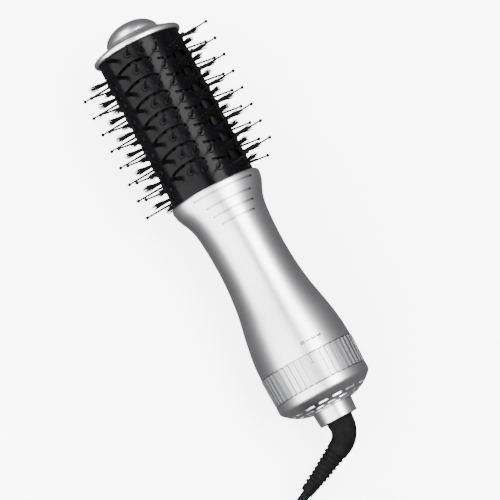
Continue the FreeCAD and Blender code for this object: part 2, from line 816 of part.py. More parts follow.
def thermal_fuse():
    """The one-shot fuse beside the cross."""
    return rod(1.4, (4.6, 4.6, 150.0), (4.6, 4.6, 161.0))


def lead_wires():
    """Three insulated wires from the board through the neck to the heater."""
    wires = [rod(0.9, (x, 5.6, 76.0), (x, 5.6, HEATER_LOW - 1.0)) for x in (-7.4, -5.2, 6.0)]
    return Part.makeCompound(wires)


# ---- Cord, coil, tie and plug, in the part frame


def corner(points, i):
    """Where an arc that rounds route point i starts, its middle and its end, and its radius."""
    before = (points[i - 1] - points[i]).normalize()
    after = (points[i + 1] - points[i]).normalize()
    shorter = min((points[i - 1] - points[i]).Length, (points[i + 1] - points[i]).Length)
    reach = 0.45 * shorter
    half_turn = (math.pi - before.getAngle(after)) / 2
    radius = reach / math.tan(half_turn)
    centre = points[i] + (before + after).normalize() * (radius / math.cos(half_turn))
    middle = centre + (points[i] - centre).normalize() * radius
    return points[i] + before * reach, middle, points[i] + after * reach, radius


def cord_tube(name, route):
    """Straight runs joined by tangent arcs, swept with the cord's section."""
    points = [V(*p) for p in route]
    edges = []
    here = points[0]
    radii = []
    for i in range(1, len(points) - 1):
        start, middle, end, radius = corner(points, i)
        edges.append(Part.LineSegment(here, start).toShape())
        edges.append(Part.Arc(start, middle, end).toShape())
        radii.append(radius)
        here = end
    edges.append(Part.LineSegment(here, points[-1]).toShape())
    path = Part.Wire(edges)
    section = Part.Circle(points[0], points[1] - points[0], CORD_DIAMETER / 2)
    solid = path.makePipeShell([Part.Wire(section.toShape())], True, False)
    expected = math.pi * CORD_DIAMETER**2 / 4 * path.Length
    print(name, "length", round(path.Length, 1), "radii", [round(r, 1) for r in radii])
    print(name, "volume over section times length", round(solid.Volume / expected, 5))
    return solid


def cord_coil(tie):
    """The closed outer shape of the wound turns."""
    width = COIL_TURNS_WIDE * CORD_DIAMETER
    height = (1 + (COIL_LAYERS - 1) * LAYER_PITCH) * CORD_DIAMETER
    inner = COIL_MEAN_RADIUS - width / 2
    outer = COIL_MEAN_RADIUS + width / 2
    round_off = 1.4
    edge = round_off * (1 - math.sqrt(0.5))
    ring = turned(
        (inner + round_off, 0),
        (outer - round_off, 0),
        ((outer - edge, edge), (outer, round_off)),
        (outer, height - round_off),
        ((outer - edge, height - edge), (outer - round_off, height)),
        (inner + round_off, height),
        ((inner + edge, height - edge), (inner, height - round_off)),
        (inner, round_off),
        ((inner + edge, edge), (inner + round_off, 0)),
    )
    ring.translate(V(*COIL_CENTRE, 0))
    return ring.cut(tie)


def cord_tie():
    """A strap round the bundle of turns, on the coil's right."""
    width = COIL_TURNS_WIDE * CORD_DIAMETER
    height = (1 + (COIL_LAYERS - 1) * LAYER_PITCH) * CORD_DIAMETER
    x, y = COIL_CENTRE
    inner = x + COIL_MEAN_RADIUS - width / 2
    outer = x + COIL_MEAN_RADIUS + width / 2
    low = y - TIE_WIDTH / 2
    t = TIE_THICKNESS
    band = block((inner - t - 0.6, low, 0), (outer + t, low + TIE_WIDTH, height + t))
    return band.cut(block((inner - 0.6, low - 1, t), (outer, low + TIE_WIDTH + 1, height)))


def plug_frame():
    """The plug's placement: its cord end at the last point of the cord's tail, lying level."""
    end = V(*TAIL_ROUTE[-1])
    way = end - V(*TAIL_ROUTE[-2])
    return FreeCAD.Placement(end, FreeCAD.Rotation(ALONG, math.degrees(math.atan2(way.y, way.x))))


def plug_body():
    """A moulded two-blade plug with its own strain relief, drawn along +x."""
    relief = Part.makeCone(3.1, 4.6, 13.0, V(0, 0, 0), V(1, 0, 0))
    relief = relief.cut([ring_cut(3.0 + 2.6 * i) for i in range(4)])
    grip = block((12.0, -8.0, -6.0), (32.0, 8.0, 6.0))
    grip = grip.makeFillet(3.6, [e for e in grip.Edges if abs(e.tangentAt(0).x) > 0.9])
    shape = relief.fuse(grip).removeSplitter()
    shape.Placement = plug_frame()
    return shape


def ring_cut(x):
    """One groove of the plug's strain relief."""
    outer = Part.makeCylinder(7.0, 0.9, V(x, 0, 0), V(1, 0, 0))
    return outer.cut(Part.makeCylinder(3.1 + 1.5 * x / 13.0 - 0.45, 0.9, V(x, 0, 0), V(1, 0, 0)))


def plug_blades():
    """Two flat blades, 12.7 apart, each with its hole."""
    blades = []
    for y in (-6.35, 6.35):
        blade = block((32.0, y - 0.75, -3.15), (48.0, y + 0.75, 3.15))
        blades.append(blade.cut(rod(1.6, (44.0, y - 2, 0), (44.0, y + 2, 0))))
    shape = Part.makeCompound(blades)
    shape.Placement = plug_frame()
    return shape


# ---- Lying on its back: the rear cap's edge and the back's pins touch the surface


def resting_placement(shapes):
    """Turns the brush frame into the part frame, and puts the origin under the middle of the brush."""
    lowest = None
    for kind, point, _, lean in seats(True):
        ball = point + lean * (PIN_LENGTH - BALL_RADIUS)
        if kind == "pin" and abs(point.x) < BARREL_END_RADIUS:
            slope = (BALL_RADIUS - ball.y - CAP_RADIUS) / (ball.z - CAP_SHOULDER - 2.0)
            if lowest is None or slope > lowest[0]:
                lowest = (slope, BALL_RADIUS - ball.y, ball.z)
    _, pin_reach, pin_height = lowest
    cap_height = CAP_SHOULDER + 2.0
    tilt = math.degrees(math.atan2(pin_reach - CAP_RADIUS, pin_height - cap_height))
    lying = FreeCAD.Placement(V(0, 0, 0), FreeCAD.Rotation(V(1, 0, 0), tilt - 90.0))
    box = None
    for shape in shapes:
        copy = shape.copy()
        copy.Placement = lying.multiply(copy.Placement)
        found = copy.optimalBoundingBox(False)
        if box is None:
            box = found
        else:
            box.add(found)
    move = V(-(box.XMin + box.XMax) / 2, -(box.YMin + box.YMax) / 2, -box.ZMin)
    print("tilt", round(tilt, 4), "move", [round(c, 4) for c in move], "box", box)
    return FreeCAD.Placement(move, lying.Rotation)


def build():
    pieces["rear_cap"] = rear_cap()
    pieces["selector_ring"] = selector_ring()
    pieces["selector_slider"] = selector_slider()
    pieces["selector_switch"] = selector_switch()
    pieces["inlet_filter"] = inlet_filter()
    pieces["cord_collar"] = cord_collar()
    pieces["swivel_bush"] = swivel_bush()
    pieces["contact_rings"] = contact_rings()
    pieces["cord_boot"] = cord_boot()
    pieces["handle_front_shell"], pieces["handle_rear_shell"] = handle_shells()
    pieces["handle_screws"] = handle_screws()
    pieces["fan_shroud"] = fan_shroud()
    pieces["motor_mount"] = motor_mount()
    pieces["motor_can"] = motor_can()
    pieces["motor_bearings"] = motor_bearings()
    pieces["motor_magnets"] = motor_magnets()
    pieces["armature"] = armature()
    pieces["motor_shaft"] = motor_shaft()
    pieces["fan_impeller"] = fan_impeller()
    pieces["rectifier_board"] = rectifier_board()
    pieces["rectifier_diodes"] = rectifier_diodes()
    pieces["lead_wires"] = lead_wires()
    pieces["barrel_shell"] = barrel_shell()
    pieces["barrel_end_plate"] = barrel_end_plate()
    pieces["barrel_base_collar"] = barrel_base_collar()
    pieces["tip_cap"] = tip_cap()
    pieces["tip_cap_screw"] = tip_cap_screw()
    pieces["heater_sleeve"] = heater_sleeve()
    pieces["heater_board_long"] = heater_board(False)
    pieces["heater_board_cross"] = heater_board(True)
    pieces["heater_coil"] = heater_coil()
    pieces["thermostat"] = thermostat()
    pieces["thermal_fuse"] = thermal_fuse()
    counts = {"pin": 0, "tuft": 0}
    for back in (False, True):
        for number, (_, _, _, kind) in enumerate(COLUMNS):
            counts[kind] += 1
            pieces["%s_strip_%02d" % (kind, counts[kind])] = bristle_strip(number, back)
    placement = resting_placement(pieces.values())
    for shape in pieces.values():
        shape.Placement = placement.multiply(shape.Placement)
    end, way = boot_point(BOOT_LENGTH)
    turn = FreeCAD.Rotation(ALONG, -BOOT_TURN)
    boot_end = placement.multVec(turn.multVec(end))
    print("boot ends at", boot_end, "heading", placement.Rotation.multVec(turn.multVec(way)))
    print("axis starts at", placement.multVec(V(0, 0, 0)), "heading", placement.Rotation.multVec(ALONG))
    print("from the boot to the cord", round((boot_end - V(*CORD_ROUTE[0])).Length, 2))
    tie = cord_tie()
    coil = cord_coil(tie)
    cord_pieces["cord_tie"] = tie
    cord_pieces["cord_coil"] = coil
    cord_pieces["cord"] = cord_tube("cord", CORD_ROUTE).cut(coil)
    plug = plug_body()
    tail = cord_tube("tail", TAIL_ROUTE).cut([coil, plug])
    cord_pieces["cord_tail"] = max(tail.Solids, key=lambda solid: solid.Volume)
    cord_pieces["plug_body"] = plug
    cord_pieces["plug_blades"] = plug_blades()


build()
os.makedirs("parts", exist_ok=True)
for node, shape in {**pieces, **cord_pieces}.items():
    if not shape.isValid():
        print("not valid:", node)
    print(node, len(shape.Solids), "solids", round(shape.Volume, 1))
    shape.exportStep("parts/%s.step" % node)
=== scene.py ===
"""The looks of the hot air brush: camera, cord, bristle tufts, dial numerals, materials, floor and light."""

import json
import math
import random

import bpy
from mathutils import Matrix, Vector
from mathutils.bvhtree import BVHTree


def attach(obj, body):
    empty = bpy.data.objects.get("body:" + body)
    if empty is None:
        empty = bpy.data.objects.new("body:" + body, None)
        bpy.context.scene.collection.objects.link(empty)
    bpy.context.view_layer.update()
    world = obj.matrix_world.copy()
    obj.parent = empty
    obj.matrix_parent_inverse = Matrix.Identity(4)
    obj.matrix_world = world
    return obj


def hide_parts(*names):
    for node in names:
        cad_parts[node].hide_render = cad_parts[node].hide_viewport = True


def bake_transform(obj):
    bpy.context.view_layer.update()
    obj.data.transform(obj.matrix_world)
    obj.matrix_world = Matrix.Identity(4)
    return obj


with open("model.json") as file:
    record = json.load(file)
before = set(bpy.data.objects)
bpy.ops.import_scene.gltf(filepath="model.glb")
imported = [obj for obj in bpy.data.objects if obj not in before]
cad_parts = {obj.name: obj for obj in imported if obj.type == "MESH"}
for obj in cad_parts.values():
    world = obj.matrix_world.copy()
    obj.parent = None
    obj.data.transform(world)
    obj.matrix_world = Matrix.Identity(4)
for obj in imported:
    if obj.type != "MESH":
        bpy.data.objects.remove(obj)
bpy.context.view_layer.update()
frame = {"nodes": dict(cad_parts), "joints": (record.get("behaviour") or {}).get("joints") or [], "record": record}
nodes = frame["nodes"]

MM = 0.001

# ---- The brush's own axes, from the swivel joint, which is 4 mm above the collar's lower end

swivel = next(j for j in frame["joints"] if j["name"] == "cord_swivel_turn")
SWIVEL_HEIGHT = 4.0
ALONG = Vector(swivel["axis"]).normalized()
SIDE = Vector((1, 0, 0))
FACE = SIDE.cross(ALONG)
START = Vector(swivel["pos_m"]) - ALONG * SWIVEL_HEIGHT * MM


def way(side, depth, height=0.0):
    """A direction from the brush's right, face and tip."""
    return SIDE * side + FACE * depth + ALONG * height


def spot(side, depth, height):
    """A point from millimetres to the right, towards the face, and up the axis from the collar's end."""
    return START + way(side, depth, height) * MM


# ---- Camera: at the left of the face, a little towards the cord's end, rolled so the tip is upper left

CAMERA_SWING = math.radians(14.8)
CAMERA_DROP = math.radians(7.0)
CAMERA_ROLL = math.radians(28.5)
CAMERA_DISTANCE = 1.0
CAMERA_LENS = 145.7
AIM_HEIGHT = 93.6


def make_camera():
    """The camera, with its picture's right and up worked out from the brush's axis."""
    flat = math.cos(CAMERA_DROP)
    back = way(-math.sin(CAMERA_SWING) * flat, math.cos(CAMERA_SWING) * flat, -math.sin(CAMERA_DROP))
    up = (ALONG - back * ALONG.dot(back)).normalized()
    right = up.cross(back)
    picture_up = up * math.cos(CAMERA_ROLL) + right * math.sin(CAMERA_ROLL)
    picture_right = right * math.cos(CAMERA_ROLL) - up * math.sin(CAMERA_ROLL)
    aim = spot(0, 0, AIM_HEIGHT) + (picture_right * 0.84 + picture_up * 0.69) * MM
    data = bpy.data.cameras.new("camera")
    data.lens = CAMERA_LENS
    data.sensor_width = 36.0
    data.clip_start = 0.01
    data.clip_end = 50.0
    camera = bpy.data.objects.new("camera", data)
    turn = Matrix((picture_right, picture_up, back)).transposed().to_4x4()
    camera.matrix_world = Matrix.Translation(aim + back * CAMERA_DISTANCE) @ turn
    bpy.context.scene.collection.objects.link(camera)
    bpy.context.scene.camera = camera


make_camera()

# ---- Materials


def shader(name, colour, roughness, metallic=0.0, **inputs):
    """A new Principled material. Keyword names are the shader's sockets, with _ for a space."""
    made = bpy.data.materials.new(name)
    made.use_nodes = True
    made.diffuse_color = (*colour, 1)
    principled = made.node_tree.nodes["Principled BSDF"]
    principled.inputs["Base Color"].default_value = (*colour, 1)
    principled.inputs["Roughness"].default_value = roughness
    principled.inputs["Metallic"].default_value = metallic
    for key, value in inputs.items():
        principled.inputs[key.replace("_", " ")].default_value = value
    return made


def noise(made, scale, detail=4.0, stretch=None):
    """A noise texture on the object's own coordinates, drawn out along the brush by stretch."""
    tree = made.node_tree
    texture = tree.nodes.new("ShaderNodeTexNoise")
    texture.inputs["Scale"].default_value = scale
    texture.inputs["Detail"].default_value = detail
    place = tree.nodes.new("ShaderNodeTexCoord").outputs["Object"]
    if stretch:
        mapping = tree.nodes.new("ShaderNodeMapping")
        mapping.inputs["Scale"].default_value = stretch
        tree.links.new(place, mapping.inputs["Vector"])
        place = mapping.outputs["Vector"]
    tree.links.new(place, texture.inputs["Vector"])
    return texture.outputs["Fac"]


def vary_roughness(made, source, low, high):
    """Roughness from low to high, after a noise."""
    tree = made.node_tree
    spread = tree.nodes.new("ShaderNodeMapRange")
    spread.inputs["From Min"].default_value = 0.3
    spread.inputs["From Max"].default_value = 0.7
    spread.inputs["To Min"].default_value = low
    spread.inputs["To Max"].default_value = high
    tree.links.new(source, spread.inputs["Value"])
    tree.links.new(spread.outputs["Result"], tree.nodes["Principled BSDF"].inputs["Roughness"])


def vary_colour(made, source, dark, light):
    """Base colour from dark to light, after a noise."""
    tree = made.node_tree
    ramp = tree.nodes.new("ShaderNodeValToRGB")
    ramp.color_ramp.elements[0].position = 0.35
    ramp.color_ramp.elements[0].color = (*dark, 1)
    ramp.color_ramp.elements[1].position = 0.65
    ramp.color_ramp.elements[1].color = (*light, 1)
    tree.links.new(source, ramp.inputs["Fac"])
    tree.links.new(ramp.outputs["Color"], tree.nodes["Principled BSDF"].inputs["Base Color"])


def roughen(made, source, depth):
    """A bump of this depth in millimetres, after a noise."""
    tree = made.node_tree
    bump = tree.nodes.new("ShaderNodeBump")
    bump.inputs["Distance"].default_value = depth * MM
    tree.links.new(source, bump.inputs["Height"])
    tree.links.new(bump.outputs["Normal"], tree.nodes["Principled BSDF"].inputs["Normal"])


def darken_hollows(made, reach, dark):
    """Paints shade into the base colour: darkens it by ambient occlusion in seams and grooves that are narrower
    than reach millimetres.
    """
    tree = made.node_tree
    base = tree.nodes["Principled BSDF"].inputs["Base Color"]
    hollow = tree.nodes.new("ShaderNodeAmbientOcclusion")
    hollow.samples = 16
    hollow.inputs["Distance"].default_value = reach * MM
    spread = tree.nodes.new("ShaderNodeMapRange")
    spread.inputs["From Min"].default_value = 0.35
    spread.inputs["From Max"].default_value = 0.85
    spread.inputs["To Min"].default_value = dark
    scale = tree.nodes.new("ShaderNodeVectorMath")
    scale.operation = "SCALE"
    tree.links.new(hollow.outputs["AO"], spread.inputs["Value"])
    tree.links.new(base.links[0].from_socket, scale.inputs[0])
    tree.links.new(spread.outputs["Result"], scale.inputs["Scale"])
    tree.links.new(scale.outputs["Vector"], base)


def silver_paint():
    """Satin silver paint: metal flake under a thin clear coat."""
    made = shader("silver_paint", (0.62, 0.62, 0.635), 0.33, 1.0)
    flake = noise(made, 2600.0, 2.0)
    vary_colour(made, flake, (0.57, 0.57, 0.585), (0.66, 0.66, 0.675))
    vary_roughness(made, noise(made, 35.0), 0.31, 0.35)
    # Painted shade: the shell's grooves and seams are darkened in its colour.
    darken_hollows(made, 1.5, 0.12)
    return made


def ring_paint():
    """The selector ring's silver, a little darker and duller than the shell's."""
    made = shader("ring_paint", (0.47, 0.47, 0.48), 0.36, 1.0)
    vary_colour(made, noise(made, 2600.0, 2.0), (0.43, 0.43, 0.44), (0.50, 0.50, 0.51))
    vary_roughness(made, noise(made, 35.0), 0.34, 0.39)
    # Painted shade: the ring's ribs, gaps and seams are darkened in its colour.
    darken_hollows(made, 1.3, 0.3)
    return made


def gloss_black():
    """The barrel's high-gloss black, with faint wiping marks along it."""
    made = shader("gloss_black", (0.0014, 0.0014, 0.0017), 0.2, Specular_IOR_Level=0.065)
    wiped = noise(made, 260.0, 6.0, (1.0, 0.2, 1.0))
    vary_roughness(made, wiped, 0.16, 0.26)
    vary_colour(made, noise(made, 90.0), (0.0010, 0.0010, 0.0013), (0.0018, 0.0018, 0.0021))
    roughen(made, noise(made, 420.0, 2.0), 0.003)
    return made


def pin_nylon():
    """Satin black nylon."""
    made = shader("pin_nylon", (0.002, 0.002, 0.0022), 0.36, Specular_IOR_Level=0.06)
    vary_colour(made, noise(made, 900.0), (0.0015, 0.0015, 0.0018), (0.003, 0.003, 0.0033))
    vary_roughness(made, noise(made, 600.0), 0.3, 0.44)
    roughen(made, noise(made, 1500.0), 0.01)
    return made


def tuft_fibre():
    """Fine black fibre, with a faint brown tone at random, painted in as a stand-in for light coming through."""
    made = shader("tuft_fibre", (0.003, 0.003, 0.003), 0.5, Specular_IOR_Level=0.05)
    vary_colour(made, noise(made, 700.0), (0.0012, 0.0012, 0.0012), (0.0036, 0.0032, 0.003))
    vary_roughness(made, noise(made, 1200.0), 0.42, 0.6)
    return made


def soft_rubber():
    """Matte moulded rubber with a fine grain."""
    made = shader("soft_rubber", (0.0022, 0.0022, 0.0024), 0.58, Specular_IOR_Level=0.035)
    vary_colour(made, noise(made, 240.0), (0.0016, 0.0016, 0.0018), (0.0032, 0.0032, 0.0034))
    vary_roughness(made, noise(made, 380.0), 0.48, 0.66)
    roughen(made, noise(made, 2600.0, 3.0), 0.02)
    return made


def cord_jacket():
    """The cord's matte jacket, drawn along its length."""
    made = shader("cord_jacket", (0.0022, 0.0022, 0.0024), 0.5, Specular_IOR_Level=0.04)
    vary_colour(made, noise(made, 420.0), (0.0016, 0.0016, 0.0018), (0.0032, 0.0032, 0.0034))
    vary_roughness(made, noise(made, 300.0), 0.42, 0.58)
    roughen(made, noise(made, 1700.0, 3.0), 0.015)
    return made


def dial_print():
    """Dark grey pad-printed ink."""
    made = shader("dial_print", (0.006, 0.006, 0.007), 0.5, Specular_IOR_Level=0.1)
    vary_colour(made, noise(made, 2400.0), (0.004, 0.004, 0.005), (0.01, 0.01, 0.011))
    return made


def metal(name, dark, light, rough_low, rough_high, grain):
    """A turned or drawn metal whose colour and polish vary."""
    made = shader(name, light, rough_low, 1.0)
    source = noise(made, grain, 5.0, (1.0, 0.12, 1.0))
    vary_colour(made, source, dark, light)
    vary_roughness(made, source, rough_low, rough_high)
    roughen(made, source, 0.006)
    return made


def moulded(name, dark, light, rough_low, rough_high, grain, depth):
    """A moulded plastic, board or mica whose colour and surface vary."""
    made = shader(name, light, rough_low, Specular_IOR_Level=0.15)
    source = noise(made, grain, 5.0)
    vary_colour(made, source, dark, light)
    vary_roughness(made, source, rough_low, rough_high)
    roughen(made, source, depth)
    return made


def floor_paper():
    """Plain pale paper."""
    made = shader("floor_paper", (0.86, 0.83, 0.838), 0.8, Emission_Strength=FLOOR_GLOW)
    made.node_tree.nodes["Principled BSDF"].inputs["Emission Color"].default_value = (1.0, 0.955, 0.965, 1)
    vary_colour(made, noise(made, 30.0), (0.85, 0.82, 0.828), (0.87, 0.84, 0.848))
    return made


MATERIALS = {
    "silver_shell": silver_paint(),
    "barrel_black": gloss_black(),
    "pin_black": pin_nylon(),
    "tuft_black": tuft_fibre(),
    "cord_black": cord_jacket(),
    "rubber_black": soft_rubber(),
    "steel": metal("plated_steel", (0.42, 0.42, 0.43), (0.6, 0.6, 0.61), 0.25, 0.42, 700.0),
    "brass": metal("bright_brass", (0.55, 0.40, 0.18), (0.76, 0.6, 0.32), 0.22, 0.4, 700.0),
    "winding": metal("copper_winding", (0.4, 0.16, 0.07), (0.72, 0.36, 0.2), 0.28, 0.5, 1100.0),
    "mica": moulded("mica", (0.42, 0.36, 0.26), (0.62, 0.56, 0.44), 0.35, 0.6, 420.0, 0.03),
    "board_green": moulded("board_green", (0.02, 0.09, 0.04), (0.03, 0.16, 0.07), 0.35, 0.5, 260.0, 0.01),
    "inner_plastic": moulded(
        "inner_plastic", (0.003, 0.003, 0.0032), (0.007, 0.007, 0.0075), 0.5, 0.7, 520.0, 0.02
    ),
}
OWN_FINISH = {
    "selector_ring": ring_paint(),
    # Painted shade: the heater sleeve is coloured near black so the inside seen through the vents reads dark.
    "heater_sleeve": moulded(
        "mica_painted_as_shade", (0.004, 0.0036, 0.003), (0.012, 0.011, 0.009), 0.5, 0.7, 420.0, 0.02
    ),
}


def dress_nodes():
    """Every CAD node takes its own finish, or the material of its slot in the record."""
    for part in frame["record"]["subparts"]:
        node = nodes[part["node"]]
        finish = OWN_FINISH.get(part["node"], MATERIALS[part["material_slot"]])
        if not node.material_slots:
            node.data.materials.append(finish)
        for slot in node.material_slots:
            slot.material = finish


# ---- Mesh helpers


def add_mesh(name, vertices, faces, finish, smooth=True):
    """A new piece from vertices and faces."""
    data = bpy.data.meshes.new(name)
    data.from_pydata([tuple(v) for v in vertices], [], faces)
    data.materials.append(finish)
    data.polygons.foreach_set("use_smooth", [smooth] * len(data.polygons))
    data.update()
    piece = bpy.data.objects.new(name, data)
    bpy.context.scene.collection.objects.link(piece)
    return piece


def sweep(line, radii, sides, vertices, faces):
    """Adds a round tube with closed ends along a line of points, with a radius at each."""
    first = len(vertices)
    ahead = (line[1] - line[0]).normalized()
    across = ahead.orthogonal().normalized()
    count = len(line)
    for i, (point, radius) in enumerate(zip(line, radii)):
        ahead = (line[min(i + 1, count - 1)] - line[max(i - 1, 0)]).normalized()
        across = (across - ahead * across.dot(ahead)).normalized()
        beside = ahead.cross(across)
        for k in range(sides):
            turn = 2 * math.pi * k / sides
            vertices.append(point + (across * math.cos(turn) + beside * math.sin(turn)) * radius)
    for i in range(count - 1):
        low = first + i * sides
        for k in range(sides):
            beyond = (k + 1) % sides
            faces.append((low + k, low + beyond, low + sides + beyond, low + sides + k))
    faces.append(tuple(first + k for k in reversed(range(sides))))
    faces.append(tuple(first + (count - 1) * sides + k for k in range(sides)))


def spline_line(name, points, steps):
    """Points along a smooth NURBS line through a route's control points."""
    curve = bpy.data.curves.new(name, "CURVE")
    curve.dimensions = "3D"
    curve.resolution_u = steps
    spline = curve.splines.new("NURBS")
    spline.points.add(len(points) - 1)
    for control, place in zip(spline.points, points):
        control.co = (*place, 1)
    spline.order_u = 3
    spline.use_endpoint_u = True
    holder = bpy.data.objects.new(name, curve)
    data = bpy.data.meshes.new_from_object(holder)
    line = [v.co.copy() for v in data.vertices]
    bpy.data.objects.remove(holder)
    bpy.data.meshes.remove(data)
    bpy.data.curves.remove(curve)
    return line


# ---- Cord: out of the boot, down to the surface, into a wound coil held by a strap, and to the plug

CORD_DIAMETER = 0.0047
INSIDE_BOOT = (-0.02919, -0.12166, 0.01495)
CORD_ROUTE = [
    (-0.0304, -0.12225, 0.0146),
    (-0.0400, -0.1269, 0.01195),
    (-0.0489, -0.1346, 0.0083),
    (-0.0556, -0.1440, 0.0052),
    (-0.0596, -0.1548, 0.0031),
    (-0.0612, -0.1662, 0.0024),
    (-0.0612, -0.1782, 0.00235),
]
TAIL_ROUTE = [
    (-0.0571, -0.1881, 0.0146),
    (-0.0550, -0.1956, 0.0151),
    (-0.0506, -0.2030, 0.0151),
    (-0.0444, -0.2096, 0.0142),
    (-0.0368, -0.2149, 0.0122),
    (-0.0282, -0.2185, 0.0098),
    (-0.0190, -0.2196, 0.0077),
    (-0.0099, -0.2178, 0.0064),
    (-0.0020, -0.2133, 0.00602),
    (0.0036, -0.2077, 0.00602),
]
COIL_CENTRE = (-0.0300, -0.1782)
COIL_RADIUS = 0.0265
# Each turn's place in the bundle: diameters out from the middle, and its layer
COIL_TURNS = [(1, 0), (0, 0), (-1, 0), (-0.5, 1), (0.5, 1), (1, 2), (0, 2), (-1, 2), (-0.5, 3), (0.5, 3)]
POINTS_PER_TURN = 18
LAYER_PITCH = math.sqrt(0.75) * CORD_DIAMETER
STRAP_THICKNESS = 0.0008
STRAP_WIDTH = 0.009
STRAP_SLACK = 0.0006
STRAP_CORNER = 0.0022
STRAP_RISE_ANGLE = 0.35


def eased(value, low, high):
    """0 below low, 1 above high, and a smooth rise between them."""
    share = min(max((value - low) / (high - low), 0.0), 1.0)
    return share * share * (3 - 2 * share)


def coil_route():
    """Control points of the wound turns, from the left side round and up the bundle's layers."""
    points = []
    step = 2 * math.pi / POINTS_PER_TURN
    reach_out = 1 / math.cos(step / 2)
    for i in range((len(COIL_TURNS) - 1) * POINTS_PER_TURN + 1):
        turns, part = divmod((i + 0.5) / POINTS_PER_TURN, 1.0)
        here = COIL_TURNS[int(turns)]
        there = COIL_TURNS[min(int(turns) + 1, len(COIL_TURNS) - 1)]
        if here[1] == there[1]:
            share = eased(part, 0.75, 1.0)
        else:
            share = eased(part, 0.55, 0.78)
        out = here[0] + (there[0] - here[0]) * share
        layer = here[1] + (there[1] - here[1]) * share
        angle = math.pi + (i + 0.5) * step
        radius = (COIL_RADIUS + out * CORD_DIAMETER) * reach_out
        over_strap = STRAP_THICKNESS * math.exp(
            -((math.remainder(angle, 2 * math.pi) / STRAP_RISE_ANGLE) ** 2)
        )
        points.append(
            (
                COIL_CENTRE[0] + radius * math.cos(angle),
                COIL_CENTRE[1] + radius * math.sin(angle),
                CORD_DIAMETER / 2 + layer * LAYER_PITCH + over_strap,
            )
        )
    return points


def make_strap():
    """The hook-and-loop strap round the bundle, a rounded band with its end lapped over the top."""
    half_wide = 1.5 * CORD_DIAMETER + STRAP_SLACK
    height = CORD_DIAMETER + 3 * LAYER_PITCH + 2 * STRAP_THICKNESS + STRAP_SLACK / 3
    corner = STRAP_CORNER
    middle = COIL_CENTRE[0] + COIL_RADIUS
    centres = [
        (middle + half_wide - corner, height - corner, 0),
        (middle - half_wide + corner, height - corner, 90),
        (middle - half_wide + corner, corner, 180),
        (middle + half_wide - corner, corner, 270),
    ]
    path = []
    for x, z, begin in centres:
        for k in range(7):
            angle = math.radians(begin + 15 * k)
            path.append((x + corner * math.cos(angle), z + corner * math.sin(angle), angle))
    x, z, begin = centres[0]
    for k in range(7):
        angle = math.radians(begin + 15 * k)
        lapped = corner + STRAP_THICKNESS * eased(k, 0, 3)
        path.append((x + lapped * math.cos(angle), z + lapped * math.sin(angle), angle))
    path.append((middle - 0.002, height + STRAP_THICKNESS, math.pi / 2))
    path.append((middle - 0.0045, height + 1.1 * STRAP_THICKNESS, math.pi / 2))
    vertices = []
    faces = []
    low = COIL_CENTRE[1] - STRAP_WIDTH / 2
    high = COIL_CENTRE[1] + STRAP_WIDTH / 2
    for x, z, angle in path:
        inner_x = x - STRAP_THICKNESS * 0.9 * math.cos(angle)
        inner_z = z - STRAP_THICKNESS * 0.9 * math.sin(angle)
        vertices += [(x, low, z), (x, high, z), (inner_x, high, inner_z), (inner_x, low, inner_z)]
    for i in range(len(path) - 1):
        for k in range(4):
            a, b = 4 * i + k, 4 * i + (k + 1) % 4
            faces.append((a, b, b + 4, a + 4))
    last = 4 * (len(path) - 1)
    faces += [(3, 2, 1, 0), (last, last + 1, last + 2, last + 3)]
    strap = add_mesh("cord_strap", vertices, faces, MATERIALS["rubber_black"], False)
    bevel = strap.modifiers.new("rounded edges", "BEVEL")
    bevel.width = 0.00015
    bevel.segments = 2
    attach(strap, "handle")
    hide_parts("cord_tie")
    return strap


def make_cord():
    """The whole cord as one tube."""
    route = [INSIDE_BOOT] + CORD_ROUTE + coil_route() + TAIL_ROUTE
    line = spline_line("cord_route", route, 6)
    vertices = []
    faces = []
    sweep(line, [CORD_DIAMETER / 2] * len(line), 14, vertices, faces)
    cord = add_mesh("cord_run", vertices, faces, MATERIALS["cord_black"])
    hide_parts("cord", "cord_coil", "cord_tail")
    strap = make_strap()
    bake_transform(cord)


make_cord()

# ---- Bristle tufts, where the barrel's tuft holes are

BARREL_TOP = 209.8
HANDLE_TOP = 128.6
HALF_WIDTH = 22.3
HALF_DEPTH = 16.6
END_RADIUS = 13.0
ROW_PITCH = 9.55
LAST_ROW_CLEAR = 2.7
# Arc distance from the middle of the face, and the first row's distance below the barrel's top
TUFT_COLUMNS = {
    False: [(-31.0, 8.7), (-17.5, 3.2), (17.5, 10.6)],
    True: [(-31.0, 3.4), (-17.5, 3.2), (17.5, 10.6)],
}
STRIP_DEPTH = 1.92
STRIP_THICKNESS = 1.2
STRIP_HALF_WIDTH = 3.4
FIBRES = 44
FIBRE_RADIUS = 0.14
TUFT_ROOT = 0.95
TUFT_DEPTH = 2.5
GOLDEN_TURN = 2.4
TUFT_LENGTH = 11.0


def on_barrel(distance):
    """The (side, depth) point and normal at an arc distance from the middle of the face."""
    face = HALF_WIDTH**2 + HALF_DEPTH**2 - 2 * HALF_WIDTH * END_RADIUS
    face /= 2 * (HALF_DEPTH - END_RADIUS)
    half_angle = math.atan2(HALF_WIDTH - END_RADIUS, face - HALF_DEPTH)
    side = math.copysign(1.0, distance)
    reach = abs(distance)
    if reach <= face * half_angle:
        normal = (side * math.sin(reach / face), math.cos(reach / face))
        return (normal[0] * face, normal[1] * face - face + HALF_DEPTH), normal
    angle = half_angle + (reach - face * half_angle) / END_RADIUS
    normal = (side * math.sin(angle), math.cos(angle))
    return (side * (HALF_WIDTH - END_RADIUS) + normal[0] * END_RADIUS, normal[1] * END_RADIUS), normal


